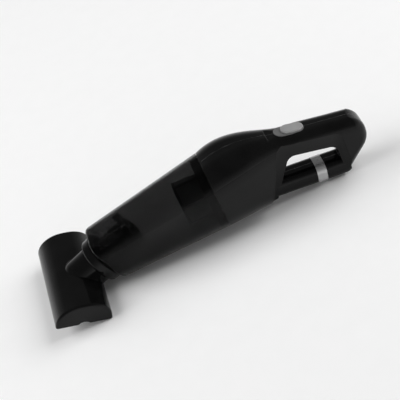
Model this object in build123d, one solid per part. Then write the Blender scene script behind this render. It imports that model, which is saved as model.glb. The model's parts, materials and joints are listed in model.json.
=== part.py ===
from build123d import *
import os
from math import atan2, cos, degrees, radians, sin, tan

os.makedirs("parts", exist_ok=True)

# Common fits
WALL = 2.2
TRIM_GAP = 0.4
RUN_GAP = 0.05
PAST = 1.0
SLIDE_GAP = 0.3

# Seam between dust cup and motor housing, at x = 0
SEAM_W = 74.0
SEAM_LOW = 15.0
SEAM_HIGH = 97.0
SEAM_R = 28.0
AXIS_Z = (SEAM_LOW + SEAM_HIGH) / 2

# Housing stations behind the seam
SHOULDER_X = 32.0
SHOULDER_W = 72.0
SHOULDER_LOW = 16.0
SHOULDER_HIGH = 102.0
SHOULDER_R = 27.0
WAIST_X = 55.0
WAIST_W = 61.0
WAIST_LOW = 13.5
WAIST_HIGH = 98.5
WAIST_R = 24.0
NECK_X = 75.0
NECK_W = 47.0
NECK_LOW = 9.5
NECK_HIGH = 92.0
NECK_R = 19.0
GRIP_X = 108.0
GRIP_W = 38.0
GRIP_LOW = 4.0
GRIP_HIGH = 82.5
GRIP_R = 13.0
TAIL_X = 143.0
TAIL_W = 36.0
TAIL_LOW = -4.0
TAIL_HIGH = 74.0
TAIL_R = 13.0
REAR_X = 177.0
REAR_TOP_R = 22.0
REAR_EDGE_R = 11.0
REAR_LOW_R = 24.0
REAR_CHIN = 36.0
HEEL_X = 138.0
HEEL_R = 14.0

# Finger hole, narrow in the middle and flared at the sides
HOLE_FRONT_X = 88.0
HOLE_FRONT_Z = 61.0
HOLE_REAR_X = 140.0
HOLE_REAR_Z = 45.5
HOLE_FOOT_X = 45.0
HOLE_FOOT_Z = -10.0
HOLE_R = 10.0
HOLE_FLAT = 13.0
FLARE_DEPTH = 4.0
FLARE_UP = 20.0
FLARE_FRONT = 9.0
FLARE_REAR = 9.0

# Lower bar with the battery
CELL_R = 9.2
CELL_LEN = 65.0
BAR_W = 29.0
BAR_H = 2 * (CELL_R + WALL)
BAR_R = 9.0
BAR_MID_X = 75.0
BAR_MID_Z = 22.3
BAR_TILT = 8.6
BAR_FRONT = -18.0
BAR_REAR = 73.0
CELL_FRONT = -14.0
STRIP_T = 0.8
STRIP_W = 10.0
RING_FRONT = 34.0
RING_LEN = 11.0
RING_DEPTH = 1.0
RING_PROUD = 0.5

# Dust cup and nose
NOSE_X = -138.0
NOSE_Z = 42.0
NOSE_W = 60.0
NOSE_H = 62.0
NOSE_R = 22.0
NOSE_WALL = 3.0
NOSE_ROUND = 4.0
TILT = 20.0
INLET_DROP = 2.5

# Inlet tube, coupling and flap
INLET_R = 17.5
PLUG_R = 15.5
PLUG_LEN = 14.0
BORE_R = 13.0
INLET_LEN = 40.0
COLLAR_R = 27.0
COLLAR_LEN = 13.0
COLLAR_ROUND = 3.0
JOURNAL_R = 17.0
JOURNAL_LEN = 10.0
RING_W = 2.4
RING_T = 1.5
FLAP_R = 15.5
FLAP_T = 1.6
PIN_R = 1.2
KNUCKLE_R = 2.2
KNUCKLE_LEN = 16.0
EAR_T = 3.0

# Floor head
HEAD_BASE = 62.0
HEAD_H = 25.0
HEAD_L = 130.0
HEAD_PITCH = 20.0
HEAD_WALL = 2.4
HEAD_ROUND = 3.0
HEAD_CENTRE_X = -186.5
HEAD_LIFT = 9.0
HEAD_REAR_FLAT = 6.0
HEAD_REAR_RISE = 5.0
STUB_R = 22.0
STUB_REACH = 44.0
NOTCH_R = 9.0
NOTCH_DEPTH = 2.8
SOLE_T = 3.0
MOUTH_W = 34.0
MOUTH_L = 110.0
MOUTH_R = 8.0
STUB_BORE_R = 14.5
STUB_DOME = 19.5
SOLE_CLEAR = 0.5
SOLE_SET = NOTCH_DEPTH + SOLE_CLEAR

# Bulkhead, filter and motor
PLATE_T = 4.0
LIP_LEN = 10.0
LIP_T = 2.0
SEAL_T = 1.6
SEAL_W = 4.0
FILTER_R = 24.0
FILTER_LEN = 34.0
FILTER_FLANGE_R = 27.0
FILTER_FLANGE_T = 3.0
FILTER_SLEEVE = 6.0
FILTER_RIBS = 6
RIB_W = 2.5
RIB_T = 1.6
MESH_T = 0.8
INTAKE_R = 19.0
PLEATS = 18
PLEAT_DEPTH = 3.0
SHROUD_R = 29.0
SHROUD_LEN = 18.0
SHROUD_T = 2.0
FAN_R = 25.0
FAN_T = 8.0
FAN_BLADES = 9
BLADE_T = 1.2
HUB_R = 6.0
MOTOR_R = 17.0
MOTOR_LEN = 34.0
CUSHION_T = 1.5
CAP_LEN = 4.0
SHAFT_R = 1.6
MAGNET_T = 3.0
CAN_T = 1.6
ARMATURE_R = 11.0
ARMATURE_LEN = 20.0
EXIT_R = 2.6
EXITS = 8
FAN_GAP = 3.0
FAN_DISC = 1.5

# Switch on the upper bar
SWITCH_X = 104.0
KNOB_L = 25.0
KNOB_W = 14.5
KNOB_H = 2.4
KNOB_ROUND = 0.9
SWITCH_TRAVEL = 7.0
TRACK_T = 1.4
TRACK_EDGE = 1.0
PAD_T = 4.0
STEM_W = 5.0
STEM_L = 8.0
BOARD_L = 56.0
BOARD_W = 22.0
BOARD_T = 1.6
BOARD_DEPTH = 15.0
BOARD_SET = 11.0
RAIL_T = 2.5
RAIL_L = 10.0
MICRO_L = 18.0
MICRO_W = 9.0
MICRO_H = 4.5
LEVER_L = 4.0
LEVER_H = 2.0

# Charging socket, grille, screws and leads
JACK_X = 31.0
JACK_R = 5.0
JACK_LEN = 11.0
JACK_BORE_R = 2.75
JACK_BORE_LEN = 9.5
JACK_FLANGE_R = 7.0
JACK_FLANGE_T = 2.0
GRILLE_W = 20.0
GRILLE_H = 16.0
GRILLE_T = 2.0
GRILLE_SLOTS = 4
GRILLE_Z = 44.0
SLOT_H = 2.0
SCREW_R = 1.4
SCREW_HEAD_R = 2.8
SCREW_HEAD_T = 2.0
BOSS_R = 4.2
LEAD_R = 0.9
LEAD_RISE = MOTOR_R / 3
LEAD_GAP = 3.5
LEAD_FRONT = -24.0
LEAD_REAR = -19.0
SCREW_SEAT = 8.0
SCREW_TOP = (40.0, 91.0)
SCREW_LOW = (47.0, 24.0)
SCREW_GRIP = (142.0, 59.0)
SCREW_HEEL = (160.0, 38.0)

HOLE_DIR = atan2(HOLE_FRONT_Z - HOLE_FOOT_Z, HOLE_FRONT_X - HOLE_FOOT_X)
TOP_SLOPE = (GRIP_HIGH - NECK_HIGH) / (GRIP_X - NECK_X)


# Helpers for planes and blocks
def across(x, z):
    return Plane(origin=(x, 0, z), x_dir=(0, 1, 0), z_dir=(1, 0, 0))


def upright(y):
    return Plane(origin=(0, y, 0), x_dir=(1, 0, 0), z_dir=(0, -1, 0))


def block(x0, x1, y0, y1, z0, z1):
    size = Box(x1 - x0, y1 - y0, z1 - z0)
    return Pos((x0 + x1) / 2, (y0 + y1) / 2, (z0 + z1) / 2) * size


def rod_x(x0, x1, radius, z=AXIS_Z, y=0.0):
    return Pos((x0 + x1) / 2, y, z) * Rot(0, 90, 0) * Cylinder(radius, x1 - x0)


def rod_y(x, z, y0, y1, radius):
    return Pos(x, (y0 + y1) / 2, z) * Rot(90, 0, 0) * Cylinder(radius, y1 - y0)


# Nozzle frame: local X runs up into the cup along the inlet, local Z is up
def nozzle():
    back = INLET_DROP * sin(radians(TILT))
    down = INLET_DROP * cos(radians(TILT))
    return Location((NOSE_X + back, 0, NOSE_Z - down), (0, -TILT, 0))


def nozzle_rod(x0, x1, radius):
    return nozzle() * Pos((x0 + x1) / 2, 0, 0) * Rot(0, 90, 0) * Cylinder(radius, x1 - x0)


# Lower bar frame: local X runs back along the bar
def bar():
    return Location((BAR_MID_X, 0, BAR_MID_Z), (0, BAR_TILT, 0))


def bar_prism(x0, x1, grow):
    shape = RectangleRounded(BAR_W + 2 * grow, BAR_H + 2 * grow, BAR_R + grow)
    return bar() * extrude(across(x0, 0) * shape, x1 - x0)


# Switch frame: local X runs back along the upper bar, local Z leaves its top
def switch():
    top = NECK_HIGH + TOP_SLOPE * (SWITCH_X - NECK_X)
    return Location((SWITCH_X, 0, top), (0, -degrees(atan2(TOP_SLOPE, 1)), 0))


# Outer and inner forms of the motor housing with its handle loop
def station(x, width, low, high, radius, inset):
    shape = RectangleRounded(width - 2 * inset, high - low - 2 * inset, radius - inset)
    return across(x, (low + high) / 2) * shape


def housing_loft(inset):
    body = [
        station(0, SEAM_W, SEAM_LOW, SEAM_HIGH, SEAM_R, inset),
        station(SHOULDER_X, SHOULDER_W, SHOULDER_LOW, SHOULDER_HIGH, SHOULDER_R, inset),
        station(WAIST_X, WAIST_W, WAIST_LOW, WAIST_HIGH, WAIST_R, inset),
        station(NECK_X, NECK_W, NECK_LOW, NECK_HIGH, NECK_R, inset),
        station(GRIP_X, GRIP_W, GRIP_LOW, GRIP_HIGH, GRIP_R, inset),
    ]
    reach = REAR_X - TAIL_X
    end_low = TAIL_LOW + reach * (TAIL_LOW - GRIP_LOW) / (TAIL_X - GRIP_X)
    end_high = TAIL_HIGH + reach * (TAIL_HIGH - GRIP_HIGH) / (TAIL_X - GRIP_X)
    loop = [
        body[-1],
        station(TAIL_X, TAIL_W, TAIL_LOW, TAIL_HIGH, TAIL_R, inset),
        station(REAR_X, TAIL_W, end_low, end_high, TAIL_R, inset),
    ]
    return loft(body) + loft(loop, ruled=True)


def side_outline(inset):
    high = 2 * SEAM_HIGH
    drop = (TAIL_HIGH - GRIP_HIGH) / (TAIL_X - GRIP_X)
    rear_top = TAIL_HIGH + drop * (REAR_X - TAIL_X) + TRIM_GAP - inset
    neck_top = rear_top - drop * (REAR_X - NECK_X)
    base = min(TAIL_LOW, GRIP_LOW) + (GRIP_LOW - TAIL_LOW) / 2 + inset
    pts = [
        (-SEAM_W, base),
        (-SEAM_W, high),
        (NECK_X, high),
        (NECK_X, neck_top),
        (REAR_X - inset, rear_top),
        (REAR_X - inset, REAR_CHIN),
        (HEEL_X, base),
    ]
    face = make_face(Polyline(*pts, close=True))
    corners = face.vertices()
    face = fillet(corners.filter_by(lambda v: near(v, pts[4])), REAR_TOP_R - inset)
    face = fillet(face.vertices().filter_by(lambda v: near(v, pts[5])), REAR_LOW_R - inset)
    face = fillet(face.vertices().filter_by(lambda v: near(v, pts[6])), HEEL_R)
    return face


def near(vertex, point):
    return abs(vertex.X - point[0]) + abs(vertex.Y - point[1]) < RUN_GAP


def side_prism(face, y0, y1):
    return extrude(upright(y1) * face, y1 - y0)


def hole_outline(up, front, rear, grow):
    slope = (HOLE_REAR_Z - HOLE_FRONT_Z) / (HOLE_REAR_X - HOLE_FRONT_X)
    front_x = HOLE_FRONT_X - front - grow
    rear_x = HOLE_REAR_X + rear + grow
    front_z = HOLE_FRONT_Z + up + grow + slope * (front_x - HOLE_FRONT_X)
    rear_z = HOLE_REAR_Z + up + grow + slope * (rear_x - HOLE_REAR_X)
    foot_x = HOLE_FOOT_X - front - grow
    pts = [(foot_x, HOLE_FOOT_Z), (front_x, front_z), (rear_x, rear_z), (rear_x, HOLE_FOOT_Z)]
    face = make_face(Polyline(*pts, close=True))
    for point in pts[1:3]:
        face = fillet(face.vertices().filter_by(lambda v: near(v, point)), HOLE_R)
    return face


def finger_hole(grow):
    inner = hole_outline(0, 0, 0, grow)
    outer = hole_outline(FLARE_UP, FLARE_FRONT, FLARE_REAR, grow)
    flat = HOLE_FLAT - grow
    edge = flat + FLARE_DEPTH
    far = SEAM_W
    cut = side_prism(inner, -flat, flat)
    for side in (-1, 1):
        cut += loft([upright(side * flat) * inner, upright(side * edge) * outer], ruled=True)
        low, high = sorted((side * edge, side * far))
        cut += side_prism(outer, low, high)
    return cut


def rear_limit(inset):
    front = block(-SEAM_W, HOLE_REAR_X, -SEAM_W, SEAM_W, -SEAM_W, 2 * SEAM_HIGH)
    half = TAIL_W / 2 + TRIM_GAP - inset
    tail = side_prism(side_outline(inset), -half, half)
    tail &= block(GRIP_X, 2 * REAR_X, -SEAM_W, SEAM_W, -SEAM_W, 2 * SEAM_HIGH)
    rims = tail.faces().filter_by(Axis.Y).edges()
    rims = rims.filter_by(lambda e: e.center().X > GRIP_X + RUN_GAP)
    return front + fillet(rims, REAR_EDGE_R - inset)


def form(inset):
    side = side_prism(side_outline(inset), -SEAM_W, SEAM_W)
    return (housing_loft(inset) & side & rear_limit(inset)) - finger_hole(inset)


# Housing mouldings
def track_shape(grow):
    length = KNOB_L + SWITCH_TRAVEL + 2 * (TRACK_EDGE + grow)
    return Pos(-SWITCH_TRAVEL / 2, 0, 0) * SlotOverall(length, KNOB_W + 2 * (TRACK_EDGE + grow))


def stem_slot(low, high):
    length = STEM_L + SWITCH_TRAVEL + 2 * SLIDE_GAP
    width = STEM_W + 2 * SLIDE_GAP
    mid = -SWITCH_TRAVEL / 2
    return block(mid - length / 2, mid + length / 2, -width / 2, width / 2, low, high)


def switch_pad(outer):
    pad = extrude(track_shape(2 * TRACK_EDGE), 2 * PAD_T)
    return outer & (switch() * Pos(0, 0, -PAD_T - TRACK_T) * pad)


def board_rails(outer):
    low = -BOARD_DEPTH - BOARD_T - RAIL_T
    high = -BOARD_DEPTH - BOARD_T
    rails = []
    for x in (-BOARD_SET - BOARD_L / 4, -BOARD_SET + BOARD_L / 4):
        for side in (-1, 1):
            y0, y1 = sorted((side * (BOARD_W / 2 - RAIL_T), side * GRIP_W))
            rails.append(switch() * block(x - RAIL_L / 2, x + RAIL_L / 2, y0, y1, low, high))
    return outer & (Part() + rails)


def jack_low():
    return SEAM_LOW + (SHOULDER_LOW - SEAM_LOW) * JACK_X / SHOULDER_X


def jack_seat():
    return jack_low() + WALL + JACK_FLANGE_T


def screw_places():
    return (SCREW_TOP, SCREW_LOW, SCREW_GRIP, SCREW_HEEL)


def grille_frame():
    reach = (GRILLE_Z - HOLE_FOOT_Z) / tan(HOLE_DIR)
    return Plane(
        origin=(HOLE_FOOT_X + reach, 0, GRILLE_Z),
        x_dir=(0, 1, 0),
        z_dir=(sin(HOLE_DIR), 0, -cos(HOLE_DIR)),
    )


def housing(outer, inner):
    side = side_prism(side_outline(0), -SEAM_W, SEAM_W)
    inside = side_prism(side_outline(WALL), -SEAM_W, SEAM_W)
    shell = outer - inner
    shell += bar_prism(BAR_FRONT, BAR_REAR, 0) & side
    shell += switch_pad(outer)
    shell += board_rails(outer)
    seat = Pos(JACK_X, 0, jack_low() + WALL) * Cylinder(JACK_FLANGE_R + WALL, 2 * JACK_FLANGE_T)
    shell += outer & seat
    for x, z in screw_places():
        shell += outer & rod_y(x, z, -SEAM_W, SEAM_W, BOSS_R)
    stop = CELL_FRONT + CELL_LEN + STRIP_T
    shell -= bar_prism(BAR_FRONT - WALL, stop, -WALL)
    shell -= bar_prism(stop + WALL, BAR_REAR + WALL, -WALL) & inside
    half = BAR_W / 2 - WALL
    shell -= bar() * block(BAR_FRONT - WALL, CELL_FRONT, -half, half, 0, BAR_H)
    shell -= bar_prism(RING_FRONT, RING_FRONT + RING_LEN, 0) - bar_prism(
        RING_FRONT, RING_FRONT + RING_LEN, -RING_DEPTH
    )
    shell -= switch() * Pos(0, 0, -TRACK_T) * extrude(track_shape(0), 2 * PAD_T)
    shell -= switch() * stem_slot(-2 * PAD_T, PAD_T)
    shell -= Pos(JACK_X, 0, jack_low()) * Cylinder(JACK_R, 4 * JACK_FLANGE_T + WALL)
    shell -= extrude(grille_frame() * Rectangle(GRILLE_W, GRILLE_H), WALL, both=True)
    for x, z in screw_places():
        shell -= rod_y(x, z, -SCREW_SEAT, SCREW_SEAT, SCREW_R)
        shell -= rod_y(x, z, SCREW_SEAT, SEAM_W, SCREW_HEAD_R)
    return shell


def halves(shell):
    low = -SEAM_W
    high = 2 * SEAM_HIGH
    left = shell & block(low, 2 * REAR_X, low, 0, low, high)
    right = shell & block(low, 2 * REAR_X, 0, -low, low, high)
    return left, right


# Small pieces on the housing
def trim_ring():
    outer = bar_prism(RING_FRONT, RING_FRONT + RING_LEN, RING_PROUD)
    return outer - bar_prism(RING_FRONT, RING_FRONT + RING_LEN, -RING_DEPTH)


def switch_track():
    plate = Pos(0, 0, -TRACK_T) * extrude(track_shape(0), TRACK_T)
    return switch() * (plate - stem_slot(-2 * TRACK_T, TRACK_T))


def lever_top():
    return LEVER_H + RUN_GAP + MICRO_H - BOARD_DEPTH


def switch_knob():
    knob = Pos(0, 0, RUN_GAP) * extrude(SlotOverall(KNOB_L, KNOB_W), KNOB_H)
    knob = fillet(knob.faces().sort_by(Axis.Z)[-1].edges(), KNOB_ROUND)
    half = STEM_W / 2
    knob += block(-STEM_L / 2, STEM_L / 2, -half, half, lever_top(), RUN_GAP)
    return switch() * knob


def switch_lever():
    half = STEM_W / 2
    low = lever_top() - LEVER_H
    return switch() * block(-LEVER_L / 2, LEVER_L / 2, -half, half, low, lever_top())


def micro_switch():
    mid = -SWITCH_TRAVEL / 2
    half = MICRO_W / 2
    low = -BOARD_DEPTH
    return switch() * block(mid - MICRO_L / 2, mid + MICRO_L / 2, -half, half, low, low + MICRO_H)


def circuit_board():
    half = BOARD_W / 2
    low = -BOARD_DEPTH - BOARD_T
    front = -BOARD_SET - BOARD_L / 2
    return switch() * block(front, front + BOARD_L, -half, half, low, low + BOARD_T)


def battery_cell():
    mid = CELL_FRONT + CELL_LEN / 2
    return bar() * Pos(mid, 0, 0) * Rot(0, 90, 0) * Cylinder(CELL_R, CELL_LEN)


def lead_corner():
    return CELL_R + LEAD_R / 2, -CELL_R / 2


def front_strip():
    half = STRIP_W / 2
    return bar() * block(CELL_FRONT - STRIP_T, CELL_FRONT, -half, half, -half, half)


def rear_strip():
    half = STRIP_W / 2
    end = CELL_FRONT + CELL_LEN
    wide = lead_corner()[0] + LEAD_R
    return bar() * block(end, end + STRIP_T, -half, wide, -half, half)


def charge_socket():
    low = jack_low() + STRIP_T
    body = Pos(JACK_X, 0, low + JACK_LEN / 2) * Cylinder(JACK_R, JACK_LEN)
    body += Pos(JACK_X, 0, jack_seat() + JACK_FLANGE_T / 2) * Cylinder(JACK_FLANGE_R, JACK_FLANGE_T)
    return body - Pos(JACK_X, 0, low + JACK_BORE_LEN / 2) * Cylinder(JACK_BORE_R, JACK_BORE_LEN)


def exhaust_grille():
    frame = grille_frame()
    plate = extrude(frame * Rectangle(GRILLE_W, GRILLE_H), -GRILLE_T * sin(HOLE_DIR))
    pitch = GRILLE_H / GRILLE_SLOTS
    for i in range(GRILLE_SLOTS):
        at = (i - (GRILLE_SLOTS - 1) / 2) * pitch
        slot = frame * Pos(0, at, 0) * SlotOverall(GRILLE_W - 2 * SLOT_H, SLOT_H)
        plate -= extrude(slot, GRILLE_T, both=True)
    return plate


def housing_screws():
    group = []
    for x, z in screw_places():
        shank = rod_y(x, z, -SCREW_SEAT, SCREW_SEAT, SCREW_R)
        group.append(shank + rod_y(x, z, SCREW_SEAT, SCREW_SEAT + SCREW_HEAD_T, SCREW_HEAD_R))
    return Part() + group


# Leads between motor, battery, charging socket and board
def board_end(x, y):
    spot = switch() * Pos(x - BOARD_SET, y, -BOARD_DEPTH - BOARD_T)
    return spot.position


def board_up():
    angle = atan2(-TOP_SLOPE, 1)
    return Vector(sin(angle), 0, cos(angle))


def lead(points, first):
    path = Spline(*points, tangents=[first, board_up()])
    return sweep(Plane(origin=path @ 0, z_dir=path % 0) * Circle(LEAD_R), path)


def motor_lead(side):
    y = side * LEAD_GAP
    start = (motor_end() + CAP_LEN, y, AXIS_Z + LEAD_RISE)
    return lead([start, board_end(LEAD_FRONT, y)], Vector(1, 0, 0))


def bar_up():
    return Vector(sin(radians(BAR_TILT)), 0, cos(radians(BAR_TILT)))


def lead_foot(y, z):
    return (bar() * Pos(CELL_FRONT - STRIP_T - LEAD_R, y, z)).position


def battery_lead_front():
    return lead([lead_foot(0, -LEAD_GAP), board_end(LEAD_REAR, 0)], bar_up())


def battery_lead_rear():
    y, z = lead_corner()
    front = CELL_FRONT - STRIP_T - LEAD_R
    back = CELL_FRONT + CELL_LEN
    run = Pos((front + back) / 2, y, z) * Rot(0, 90, 0) * Cylinder(LEAD_R, back - front)
    rise = lead([lead_foot(y, z), board_end(LEAD_REAR, 2 * LEAD_GAP - LEAD_R)], bar_up())
    return bar() * (run + Pos(front, y, z) * Sphere(LEAD_R)) + rise


def charge_lead():
    y = LEAD_R - 2 * LEAD_GAP
    low = jack_low() + STRIP_T + JACK_LEN
    under = AXIS_Z - MOTOR_R - 2 * LEAD_GAP
    behind = motor_end() + CAP_LEN + LEAD_GAP
    points = [
        (JACK_X, 0, low),
        ((JACK_X + behind) / 2, y, under),
        (behind, y, under + 2 * LEAD_GAP),
        board_end(LEAD_REAR, y),
    ]
    return lead(points, Vector(0, 0, 1))


# Dust cup
def nose_plane(depth):
    back = depth * cos(radians(TILT))
    up = depth * sin(radians(TILT))
    return Plane(
        origin=(NOSE_X + back, 0, NOSE_Z + up),
        x_dir=(0, 1, 0),
        z_dir=(cos(radians(TILT)), 0, sin(radians(TILT))),
    )


def cup_form(inset, depth):
    front = RectangleRounded(NOSE_W - 2 * inset, NOSE_H - 2 * inset, NOSE_R - inset)
    height = SEAM_HIGH - SEAM_LOW - 2 * inset
    rear = RectangleRounded(SEAM_W - 2 * inset, height, SEAM_R - inset)
    return loft([nose_plane(depth) * front, across(-TRIM_GAP, AXIS_Z) * rear])


def dust_cup():
    body = cup_form(0, 0)
    body = fillet(body.faces().sort_by(Axis.X)[0].edges(), NOSE_ROUND)
    body -= cup_form(WALL, NOSE_WALL)
    return body - nozzle_rod(-NOSE_WALL, 3 * NOSE_WALL, INLET_R)


def pin_place():
    return INLET_LEN + SLIDE_GAP + FLAP_T / 2, INLET_R + KNUCKLE_R + 2 * SLIDE_GAP


def inlet_tube():
    x, z = pin_place()
    tube = nozzle_rod(0, INLET_LEN, INLET_R)
    inside = KNUCKLE_LEN / 2 + SLIDE_GAP
    for side in (-1, 1):
        y0, y1 = sorted((side * inside, side * (inside + EAR_T)))
        ear = block(INLET_LEN - 2 * EAR_T, x + KNUCKLE_R, y0, y1, INLET_R - EAR_T, z + KNUCKLE_R)
        ear -= block(INLET_LEN, x + EAR_T, y0, y1, 0, INLET_R)
        tube += nozzle() * ear
    tube -= nozzle_rod(-PAST, PLUG_LEN + RUN_GAP, PLUG_R + RUN_GAP)
    tube -= nozzle_rod(0, INLET_LEN + EAR_T, BORE_R)
    reach = inside + EAR_T
    return tube - nozzle() * rod_y(x, z, -reach, reach, PIN_R)


def flap_pin():
    x, z = pin_place()
    reach = KNUCKLE_LEN / 2 + SLIDE_GAP + EAR_T
    return nozzle() * rod_y(x, z, -reach, reach, PIN_R)


def inlet_flap():
    x, z = pin_place()
    low = x - FLAP_T / 2
    half = KNUCKLE_LEN / 2
    disc = Pos(x, 0, 0) * Rot(0, 90, 0) * Cylinder(FLAP_R, FLAP_T)
    disc += block(low, low + FLAP_T, -half, half, FLAP_R / 2, z)
    disc += rod_y(x, z, -half, half, KNUCKLE_R)
    return nozzle() * (disc - rod_y(x, z, -half, half, PIN_R + RUN_GAP))


# Coupling and floor head
def coupling():
    near_end = -TRIM_GAP
    far_end = near_end - COLLAR_LEN
    collar = nozzle_rod(far_end, near_end, COLLAR_R)
    collar = fillet(collar.edges().filter_by(GeomType.CIRCLE), COLLAR_ROUND)
    body = collar + nozzle_rod(near_end, PLUG_LEN, PLUG_R)
    body += nozzle_rod(far_end - JOURNAL_LEN, far_end, JOURNAL_R)
    body -= nozzle_rod(far_end - 2 * JOURNAL_LEN, 2 * PLUG_LEN, BORE_R)
    return body - seal_groove(0)


def seal_groove(cut):
    x = PLUG_LEN / 2
    ring = nozzle_rod(x - RING_W / 2, x + RING_W / 2, PLUG_R + cut)
    return ring - nozzle_rod(x - RING_W, x + RING_W, PLUG_R - RING_T)


def stub_start():
    return -2 * TRIM_GAP - COLLAR_LEN


def head():
    rise = HEAD_LIFT + HEAD_BASE / 2 * sin(radians(HEAD_PITCH))
    return Location((HEAD_CENTRE_X, 0, rise), (0, HEAD_PITCH, 0))


def head_profile(inset):
    half = HEAD_BASE / 2 - inset
    high = HEAD_H - inset
    flat = HEAD_REAR_FLAT
    rise = HEAD_REAR_RISE
    edge = Polyline((-half, 0), (half, 0), (half, rise))
    edge += EllipticalCenterArc((flat, rise), half - flat, high - rise, start_angle=0, arc_size=90)
    edge += Line((flat, high), (0, high))
    edge += EllipticalCenterArc((0, 0), half, high, start_angle=90, arc_size=90)
    return make_face(edge)


def head_bar(inset):
    half = HEAD_L / 2 - inset
    return extrude(upright(half) * head_profile(inset), 2 * half)


def head_outer():
    body = head_bar(0)
    ends = body.faces().filter_by(Axis.Y).edges()
    return fillet(ends.filter_by(lambda e: (e @ 0.5).Z > RUN_GAP), HEAD_ROUND)


def stub(radius, low, high, dome):
    body = Pos((low + high) / 2, 0, 0) * Rot(0, 90, 0) * Cylinder(radius, high - low)
    front = body.edges().filter_by(GeomType.CIRCLE).sort_by(Axis.X)[0]
    return nozzle() * fillet(front, dome)


def end_notch():
    low = NOTCH_DEPTH - NOTCH_R
    return rod_y(0, low, -HEAD_L, HEAD_L, NOTCH_R)


def head_shell():
    start = stub_start()
    socket = start - JOURNAL_LEN - TRIM_GAP
    front = start - STUB_REACH
    below = head() * block(-HEAD_L, HEAD_L, -HEAD_L, HEAD_L, -HEAD_L, 0)
    body = head() * head_outer() + stub(STUB_R, front, start, STUB_DOME)
    hollow = head() * head_bar(HEAD_WALL)
    hollow += stub(STUB_BORE_R, front + STUB_R - STUB_BORE_R, start, STUB_DOME - STUB_R + STUB_BORE_R)
    hollow += nozzle_rod(socket, start + PAST, JOURNAL_R + RUN_GAP)
    return body - below - hollow - head() * end_notch()


def head_sole():
    slab = block(-HEAD_L, HEAD_L, -HEAD_L, HEAD_L, SOLE_SET, SOLE_SET + SOLE_T)
    mouth = Pos(0, 0, SOLE_SET) * extrude(RectangleRounded(MOUTH_W, MOUTH_L, MOUTH_R), SOLE_T)
    return head() * ((head_bar(HEAD_WALL) & slab) - mouth)


# Bulkhead, filter and motor
def lip_shape(inset):
    grow = WALL + LIP_T + inset
    height = SEAM_HIGH - SEAM_LOW - 2 * grow
    return RectangleRounded(SEAM_W - 2 * grow, height, SEAM_R - grow)


def bulkhead(inner):
    plate = inner & block(0, PLATE_T, -SEAM_W, SEAM_W, 0, 2 * SEAM_HIGH)
    lip = extrude(across(-LIP_LEN, AXIS_Z) * (lip_shape(0) - lip_shape(LIP_T)), LIP_LEN)
    return plate + lip - rod_x(-PAST, PLATE_T + PAST, INTAKE_R)


def cup_seal():
    mid = -LIP_LEN / 2
    slab = block(mid - SEAL_W / 2, mid + SEAL_W / 2, -SEAM_W, SEAM_W, 0, 2 * SEAM_HIGH)
    ring = cup_form(WALL + RUN_GAP, NOSE_WALL) & slab
    return ring - extrude(across(-LIP_LEN, AXIS_Z) * lip_shape(0), LIP_LEN)


def filter_back():
    return -SEAL_T - RUN_GAP


def filter_frame():
    back = filter_back()
    front = back - FILTER_FLANGE_T
    tip = front - FILTER_LEN
    frame = rod_x(front, back, FILTER_FLANGE_R)
    frame += rod_x(back, FILTER_SLEEVE, INTAKE_R - RUN_GAP)
    frame += rod_x(tip, tip + FILTER_FLANGE_T, FILTER_R + RIB_T)
    for i in range(FILTER_RIBS):
        rib = block(tip, back, -RIB_W / 2, RIB_W / 2, FILTER_R, FILTER_R + RIB_T)
        frame += Pos(0, 0, AXIS_Z) * Rot(i * 360 / FILTER_RIBS, 0, 0) * rib
    return frame - rod_x(tip - PAST, FILTER_SLEEVE + PAST, INTAKE_R - RIB_T)


def mesh_screen():
    back = filter_back() - FILTER_FLANGE_T
    front = back - FILTER_LEN + FILTER_FLANGE_T
    return rod_x(front, back, FILTER_R) - rod_x(front, back, FILTER_R - MESH_T)


def filter_element():
    back = filter_back() - FILTER_FLANGE_T
    front = back - FILTER_LEN + FILTER_FLANGE_T
    high = FILTER_R - MESH_T
    pts = []
    for i in range(PLEATS):
        for part, radius in ((0, high), (0.5, high - PLEAT_DEPTH)):
            turn = 2 * (i + part) * 180 / PLEATS
            pts.append((radius * cos(radians(turn)), radius * sin(radians(turn))))
    star = make_face(Polyline(*pts, close=True))
    return extrude(across(front, AXIS_Z) * (star - Circle(INTAKE_R - RIB_T)), back - front)


def filter_seal():
    back = filter_back()
    return rod_x(back, back + SEAL_T, FILTER_FLANGE_R) - rod_x(back, back + SEAL_T, INTAKE_R - RUN_GAP)


def shroud_end():
    return PLATE_T + SHROUD_LEN


def motor_front():
    return shroud_end() - SHROUD_T


def motor_end():
    return motor_front() + MOTOR_LEN


def fan_shroud():
    end = shroud_end()
    hub = MOTOR_R + CUSHION_T
    body = rod_x(PLATE_T, end, SHROUD_R) - rod_x(PLATE_T, end - SHROUD_T, SHROUD_R - SHROUD_T)
    body += rod_x(end - SHROUD_T, end + 2 * SHROUD_T, hub + SHROUD_T)
    body -= rod_x(PLATE_T, end + 3 * SHROUD_T, hub)
    for i in range(EXITS):
        turn = radians(i * 360 / EXITS)
        ring = (hub + SHROUD_T + SHROUD_R - SHROUD_T) / 2
        body -= rod_x(PLATE_T, end + PAST, EXIT_R, AXIS_Z + ring * cos(turn), ring * sin(turn))
    return body


def motor_cushion():
    low = motor_front()
    high = shroud_end() + 2 * SHROUD_T
    return rod_x(low, high, MOTOR_R + CUSHION_T) - rod_x(low, high, MOTOR_R)


def motor_can():
    low = motor_front()
    body = rod_x(low, motor_end(), MOTOR_R) - rod_x(low + CAN_T, motor_end(), MOTOR_R - CAN_T)
    return body - rod_x(low - PAST, low + 2 * CAN_T, SHAFT_R + RUN_GAP)


def motor_cap():
    low = motor_end()
    body = rod_x(low, low + CAP_LEN, MOTOR_R) + rod_x(low - CAP_LEN, low, MOTOR_R - CAN_T)
    return body - rod_x(low - 2 * CAP_LEN, low + 2 * CAP_LEN, SHAFT_R + RUN_GAP)


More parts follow.
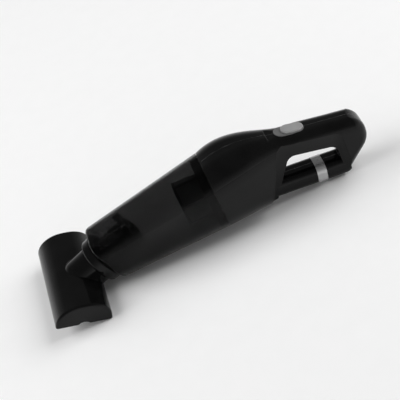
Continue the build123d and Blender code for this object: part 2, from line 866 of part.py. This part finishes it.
def motor_magnets():
    low = motor_front() + 2 * CAN_T
    high = motor_end() - CAP_LEN
    ring = rod_x(low, high, MOTOR_R - CAN_T) - rod_x(low, high, MOTOR_R - CAN_T - MAGNET_T)
    gap = block(low - PAST, high + PAST, -MOTOR_R, MOTOR_R, AXIS_Z - MAGNET_T, AXIS_Z + MAGNET_T)
    return ring - gap


def armature():
    mid = (motor_front() + motor_end()) / 2
    body = rod_x(mid - ARMATURE_LEN / 2, mid + ARMATURE_LEN / 2, ARMATURE_R)
    return body - rod_x(mid - ARMATURE_LEN, mid + ARMATURE_LEN, SHAFT_R)


def fan_back():
    return PLATE_T + FAN_GAP + FAN_T


def motor_shaft():
    return rod_x(PLATE_T + FAN_GAP, motor_end() + CAP_LEN, SHAFT_R)


def fan_wheel():
    back = fan_back()
    wheel = rod_x(back - FAN_DISC, back, FAN_R) + rod_x(back - FAN_T, back, HUB_R)
    for i in range(FAN_BLADES):
        blade = block(back - FAN_T, back, -BLADE_T / 2, BLADE_T / 2, HUB_R / 2, FAN_R)
        wheel += Pos(0, 0, AXIS_Z) * Rot(i * 360 / FAN_BLADES, 0, 0) * blade
    return wheel - rod_x(back - 2 * FAN_T, back + FAN_T, SHAFT_R)


# All pieces in one frame, lying on the head's rear edge and the handle's heel
def lying():
    tilt = radians(BAR_TILT)
    heel = BAR_MID_Z - (HEEL_X - BAR_MID_X) * tan(tilt) - BAR_H / 2 / cos(tilt)
    head_rear = HEAD_CENTRE_X + HEAD_BASE / 2 * cos(radians(HEAD_PITCH))
    return Rot(0, -degrees(atan2(HEAD_LIFT - heel, HEEL_X - head_rear)), 0)


def pieces():
    outer = form(0)
    inner = form(WALL)
    left, right = halves(housing(outer, inner))
    return {
        "left_housing": left,
        "right_housing": right,
        "housing_screws": housing_screws(),
        "trim_ring": trim_ring(),
        "switch_track": switch_track(),
        "switch_knob": switch_knob(),
        "switch_lever": switch_lever(),
        "micro_switch": micro_switch(),
        "circuit_board": circuit_board(),
        "battery_cell": battery_cell(),
        "front_strip": front_strip(),
        "rear_strip": rear_strip(),
        "charge_socket": charge_socket(),
        "exhaust_grille": exhaust_grille(),
        "motor_lead_left": motor_lead(-1),
        "motor_lead_right": motor_lead(1),
        "battery_lead_front": battery_lead_front(),
        "battery_lead_rear": battery_lead_rear(),
        "charge_lead": charge_lead(),
        "bulkhead": bulkhead(inner),
        "cup_seal": cup_seal(),
        "fan_shroud": fan_shroud(),
        "motor_cushion": motor_cushion(),
        "motor_can": motor_can(),
        "motor_cap": motor_cap(),
        "motor_magnets": motor_magnets(),
        "armature": armature(),
        "motor_shaft": motor_shaft(),
        "fan_wheel": fan_wheel(),
        "filter_frame": filter_frame(),
        "mesh_screen": mesh_screen(),
        "filter_element": filter_element(),
        "filter_seal": filter_seal(),
        "dust_cup": dust_cup(),
        "inlet_tube": inlet_tube(),
        "flap_pin": flap_pin(),
        "inlet_flap": inlet_flap(),
        "coupling": coupling(),
        "coupling_seal": seal_groove(0),
        "head_shell": head_shell(),
        "head_sole": head_sole(),
    }


def save(parts):
    parts = {name: lying() * part for name, part in parts.items()}
    boxes = [part.bounding_box() for part in parts.values()]
    front = min(box.min.X for box in boxes)
    rear = max(box.max.X for box in boxes)
    floor = min(box.min.Z for box in boxes)
    for name, part in parts.items():
        export_step(Pos(-(front + rear) / 2, 0, -floor) * part, f"parts/{name}.step")


save(pieces())
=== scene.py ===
"""A gloss-black cordless handheld vacuum cleaner lying on a pale floor."""
import json
from math import cos, radians, sin

import bpy
from mathutils import Matrix, Vector

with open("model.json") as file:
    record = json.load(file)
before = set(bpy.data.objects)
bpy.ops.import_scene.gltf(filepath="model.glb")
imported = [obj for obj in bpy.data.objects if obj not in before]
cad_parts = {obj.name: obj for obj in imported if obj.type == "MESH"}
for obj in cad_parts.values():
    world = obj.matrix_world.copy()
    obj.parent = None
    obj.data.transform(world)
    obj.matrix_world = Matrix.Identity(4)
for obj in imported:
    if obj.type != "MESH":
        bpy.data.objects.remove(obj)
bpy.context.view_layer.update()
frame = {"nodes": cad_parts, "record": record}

# Camera: where it stands round its aim, in degrees and metres
AIM = Vector((0.0, 0.0, 0.040))
AZIMUTH = 1.815
ELEVATION = 40.067
ROLL = -25.996
DISTANCE = 1.2982
LENS = 106.82
SHIFT_X = -0.0024
SHIFT_Y = 0.0083

# Floor
FLOOR_SIZE = 8.0
FLOOR_DROP = 0.0002
FLOOR_SHADE = 0.95
FLOOR_DRIFT = 0.01

# Room: its shade at each height, from the horizon to overhead
SKY = ((0.0, 1.0), (0.25, 0.50), (0.55, 0.16), (1.0, 0.10))

# Soft box at each end of the object
BOX_REACH = 2.2
BOX_BACK = 0.3
BOX_HEIGHT = 1.8
BOX_SIZE = 2.5
BOX_POWER = 62.0

# Pattern sizes, in repeats for each metre
PEEL = 260.0
MOULD_GRAIN = 1400.0
FLAKE = 5200.0
FIBRE = 900.0
THREAD = 1900.0
TRACE = 112.5
SMEAR = 45.0

# Part of a noise's range that carries most of its values
PATTERN_LOW = 0.3
PATTERN_HIGH = 0.7

# Depth of the grain and the softened edges of the mouldings, in metres
GRAIN_DEPTH = 0.0002
EDGE = 0.0007
EDGE_SAMPLES = 6


def link(tree, source, socket):
    """Joins an output to an input."""
    tree.links.new(source, socket)


def noise(tree, scale, detail=4.0, stretch=(1.0, 1.0, 1.0)):
    """A noise that stays with the piece, with its own scale along each axis."""
    place = tree.nodes.new("ShaderNodeTexCoord")
    mapping = tree.nodes.new("ShaderNodeMapping")
    mapping.inputs["Scale"].default_value = stretch
    texture = tree.nodes.new("ShaderNodeTexNoise")
    texture.inputs["Scale"].default_value = scale
    texture.inputs["Detail"].default_value = detail
    link(tree, place.outputs["Object"], mapping.inputs["Vector"])
    link(tree, mapping.outputs["Vector"], texture.inputs["Vector"])
    return texture.outputs["Fac"]


def wave(tree, scale, axis):
    """Even bands across one axis."""
    place = tree.nodes.new("ShaderNodeTexCoord")
    texture = tree.nodes.new("ShaderNodeTexWave")
    texture.bands_direction = axis
    texture.inputs["Scale"].default_value = scale
    link(tree, place.outputs["Object"], texture.inputs["Vector"])
    return texture.outputs["Fac"]


def grain(*scales):
    """A noise as the relief of a surface."""
    return lambda tree: noise(tree, *scales)


def traces(tree):
    """Copper tracks that lie side by side."""
    return wave(tree, TRACE, "X")


def weave(tree):
    """Two crossed sets of threads."""
    over = wave(tree, THREAD, "Y")
    under = wave(tree, THREAD, "Z")
    node = tree.nodes.new("ShaderNodeMath")
    node.operation = "MAXIMUM"
    link(tree, over, node.inputs[0])
    link(tree, under, node.inputs[1])
    return node.outputs["Value"]


def spread(tree, value, low, high):
    """Maps the middle of a pattern onto the range from low to high."""
    node = tree.nodes.new("ShaderNodeMapRange")
    node.inputs["From Min"].default_value = PATTERN_LOW
    node.inputs["From Max"].default_value = PATTERN_HIGH
    node.inputs["To Min"].default_value = low
    node.inputs["To Max"].default_value = high
    link(tree, value, node.inputs["Value"])
    return node.outputs["Result"]


def ramp(tree, value, steps):
    """Runs a value through colours, each at its own place."""
    node = tree.nodes.new("ShaderNodeValToRGB")
    elements = node.color_ramp.elements
    for element, (position, colour) in zip(elements, (steps[0], steps[-1])):
        element.position = position
        element.color = (*colour, 1.0)
    for position, colour in steps[1:-1]:
        elements.new(position).color = (*colour, 1.0)
    link(tree, value, node.inputs["Fac"])
    return node.outputs["Color"]


def dent(tree, value, strength, edge):
    """A bump of that strength over edges that are rounded by edge metres."""
    node = tree.nodes.new("ShaderNodeBump")
    node.inputs["Strength"].default_value = strength
    node.inputs["Distance"].default_value = GRAIN_DEPTH
    link(tree, value, node.inputs["Height"])
    if edge:
        soft = tree.nodes.new("ShaderNodeBevel")
        soft.samples = EDGE_SAMPLES
        soft.inputs["Radius"].default_value = edge
        link(tree, soft.outputs["Normal"], node.inputs["Normal"])
    return node.outputs["Normal"]


def surface(name, dark, light, rough, relief, strength, edge=0.0, **sockets):
    """A material whose colour and gloss drift over broad patches, with a fine relief."""
    material = bpy.data.materials.new(name)
    material.use_nodes = True
    tree = material.node_tree
    shader = tree.nodes["Principled BSDF"]
    drift = noise(tree, SMEAR)
    colours = ((PATTERN_LOW, dark), (PATTERN_HIGH, light))
    link(tree, ramp(tree, drift, colours), shader.inputs["Base Color"])
    link(tree, spread(tree, drift, *rough), shader.inputs["Roughness"])
    link(tree, dent(tree, relief(tree), strength, edge), shader.inputs["Normal"])
    for socket, value in sockets.items():
        shader.inputs[socket.replace("_", " ")].default_value = value
    return material


def grey(value, warm=0.0):
    """A grey, a little warmer or cooler."""
    return (value * (1.0 + warm), value, value * (1.0 - warm))


def gloss_black():
    """Polished moulding with a faint orange peel."""
    return surface(
        "gloss_black", dark=grey(0.0030), light=grey(0.0050), rough=(0.035, 0.075),
        relief=grain(PEEL, 2.0), strength=0.03, edge=EDGE, Specular_IOR_Level=0.2)


def smoked():
    """Dark see-through plastic, with the light smears of wiped dust."""
    return surface(
        "smoked", dark=grey(0.12), light=grey(0.14), rough=(0.02, 0.06),
        relief=grain(PEEL, 2.0), strength=0.02, Transmission_Weight=1.0, IOR=1.22)


def smoked_inner():
    """The same plastic inside the cup, dulled by dust."""
    return surface(
        "smoked_inner", dark=grey(0.05), light=grey(0.08), rough=(0.10, 0.22),
        relief=grain(MOULD_GRAIN), strength=0.05, Transmission_Weight=0.6, IOR=1.49)


def silver_paint():
    """Sprayed silver, with fine metal flakes."""
    return surface(
        "silver_paint", dark=grey(0.31), light=grey(0.41), rough=(0.32, 0.42),
        relief=grain(FLAKE, 1.0), strength=0.25, edge=EDGE, Metallic=0.4)


def silver_with_painted_shade():
    """The same paint on the switch track, darker as painted shade of the gap round the knob, and
    a little rougher.
    """
    return surface(
        "silver_with_painted_shade", dark=grey(0.13), light=grey(0.20), rough=(0.36, 0.50),
        relief=grain(FIBRE, 3.0, (0.2, 2.0, 1.0)), strength=0.20, edge=EDGE, Metallic=0.4)


def bright_ring():
    """Plated trim with a drawn sheen along it."""
    return surface(
        "bright_ring", dark=grey(0.48), light=grey(0.58), rough=(0.22, 0.30),
        relief=grain(FLAKE, 2.0, (0.05, 1.0, 1.0)), strength=0.10, Metallic=0.6)


def matte_black():
    """Spark-textured black moulding."""
    return surface(
        "matte_black", dark=grey(0.009), light=grey(0.014), rough=(0.45, 0.60),
        relief=grain(MOULD_GRAIN, 6.0), strength=0.35)


def white_plastic():
    """Natural nylon, slightly yellow."""
    return surface(
        "white_plastic", dark=grey(0.62, 0.04), light=grey(0.70, 0.03), rough=(0.38, 0.50),
        relief=grain(MOULD_GRAIN), strength=0.12)


def rubber():
    """Soft black rubber with a dusty bloom."""
    return surface(
        "rubber", dark=grey(0.010), light=grey(0.022), rough=(0.70, 0.85),
        relief=grain(MOULD_GRAIN, 8.0), strength=0.30, Sheen_Weight=0.15)


def steel():
    """Turned steel, with tool marks round it."""
    return surface(
        "steel", dark=grey(0.42), light=grey(0.55), rough=(0.25, 0.38),
        relief=grain(FIBRE, 3.0, (8.0, 0.4, 0.4)), strength=0.15, Metallic=1.0)


def magnet():
    """Sintered ferrite."""
    return surface(
        "magnet", dark=grey(0.035), light=grey(0.060), rough=(0.55, 0.70),
        relief=grain(MOULD_GRAIN, 8.0), strength=0.40)


def mesh():
    """Fine woven wire."""
    return surface(
        "mesh", dark=grey(0.22), light=grey(0.34), rough=(0.30, 0.45),
        relief=weave, strength=0.8, Metallic=0.9)


def filter_paper():
    """Fibrous off-white paper."""
    return surface(
        "filter_paper", dark=grey(0.58, 0.05), light=grey(0.70, 0.04), rough=(0.85, 0.95),
        relief=grain(FIBRE, 10.0, (1.0, 0.2, 1.0)), strength=0.5)


def cell_wrap():
    """Shrunk sleeve round the cell, with fine creases along it."""
    return surface(
        "cell_wrap", dark=(0.02, 0.09, 0.25), light=(0.03, 0.12, 0.31), rough=(0.22, 0.34),
        relief=grain(FIBRE, 3.0, (0.2, 1.0, 1.0)), strength=0.15)


def nickel():
    """Rolled nickel strip."""
    return surface(
        "nickel", dark=grey(0.52, 0.03), light=grey(0.62, 0.03), rough=(0.22, 0.32),
        relief=grain(FIBRE, 3.0, (0.3, 2.0, 1.0)), strength=0.12, Metallic=1.0)


def board():
    """Green solder mask over copper tracks."""
    return surface(
        "board", dark=(0.006, 0.055, 0.022), light=(0.010, 0.080, 0.032), rough=(0.25, 0.40),
        relief=traces, strength=0.4)


def red_lead():
    """Red insulated wire."""
    return surface(
        "red_lead", dark=(0.35, 0.012, 0.010), light=(0.44, 0.018, 0.014), rough=(0.40, 0.52),
        relief=grain(MOULD_GRAIN), strength=0.10)


def black_lead():
    """Black insulated wire."""
    return surface(
        "black_lead", dark=grey(0.012), light=grey(0.018), rough=(0.42, 0.55),
        relief=grain(MOULD_GRAIN), strength=0.10)


def floor_paint():
    """Even matt paint."""
    return surface(
        "floor_paint", dark=grey(FLOOR_SHADE - FLOOR_DRIFT), light=grey(FLOOR_SHADE),
        rough=(0.75, 0.85), relief=grain(FIBRE), strength=0.02, Specular_IOR_Level=0.1)


FINISHES = [
    gloss_black, smoked, smoked_inner, silver_paint, bright_ring, matte_black,
    white_plastic, rubber, steel, magnet, mesh, filter_paper,
    cell_wrap, nickel, board, red_lead, black_lead,
]


def dress():
    """Gives each CAD node the finish that its slot names, and the switch track its own."""
    finishes = {make.__name__: make() for make in FINISHES}
    for row in frame["record"]["subparts"]:
        data = frame["nodes"][row["node"]].data
        data.materials.clear()
        data.materials.append(finishes[row["material_slot"]])
    # The switch track takes a darker silver: painted shade standing for the gap round the knob.
    frame["nodes"]["switch_track"].data.materials[0] = silver_with_painted_shade()


def floor():
    """A plain pale floor, a hair under the lowest edge."""
    bpy.ops.mesh.primitive_plane_add(size=FLOOR_SIZE, location=(0.0, 0.0, -FLOOR_DROP))
    plane = bpy.context.object
    plane.name = "floor"
    plane.data.materials.append(floor_paint())


def room():
    """Even surroundings that are bright at the horizon and dark overhead."""
    world = bpy.data.worlds.new("room")
    world.use_nodes = True
    tree = world.node_tree
    place = tree.nodes.new("ShaderNodeTexCoord")
    split = tree.nodes.new("ShaderNodeSeparateXYZ")
    link(tree, place.outputs["Generated"], split.inputs["Vector"])
    sky = ramp(tree, split.outputs["Z"], [(height, grey(shade)) for height, shade in SKY])
    link(tree, sky, tree.nodes["Background"].inputs["Color"])
    bpy.context.scene.world = world


def soft_box(name, side):
    """A square lamp that faces the object from one end and leaves no hard patch in its gloss."""
    data = bpy.data.lights.new(name, "AREA")
    data.shape = "SQUARE"
    data.size = BOX_SIZE
    data.energy = BOX_POWER
    box = bpy.data.objects.new(name, data)
    box.location = (side * BOX_REACH, BOX_BACK, BOX_HEIGHT)
    box.visible_glossy = False
    box.rotation_euler = (AIM - box.location).to_track_quat("-Z", "Y").to_euler()
    bpy.context.scene.collection.objects.link(box)


def camera():
    """The camera, turned about its own line of sight by the photograph's roll."""
    turn, rise, roll = radians(AZIMUTH), radians(ELEVATION), radians(ROLL)
    back = Vector((sin(turn) * cos(rise), -cos(turn) * cos(rise), sin(rise)))
    level = Vector((cos(turn), sin(turn), 0.0))
    upright = back.cross(level)
    right = cos(roll) * level + sin(roll) * upright
    top = cos(roll) * upright - sin(roll) * level
    data = bpy.data.cameras.new("camera")
    data.lens = LENS
    data.shift_x = SHIFT_X
    data.shift_y = SHIFT_Y
    eye = bpy.data.objects.new("camera", data)
    facing = Matrix((right, top, back)).transposed().to_4x4()
    eye.matrix_world = Matrix.Translation(AIM + back * DISTANCE) @ facing
    bpy.context.scene.collection.objects.link(eye)
    bpy.context.scene.camera = eye


dress()
floor()
room()
soft_box("end_box_front", -1.0)
soft_box("end_box_rear", 1.0)
camera()
bpy.context.scene.view_settings.view_transform = "Standard"
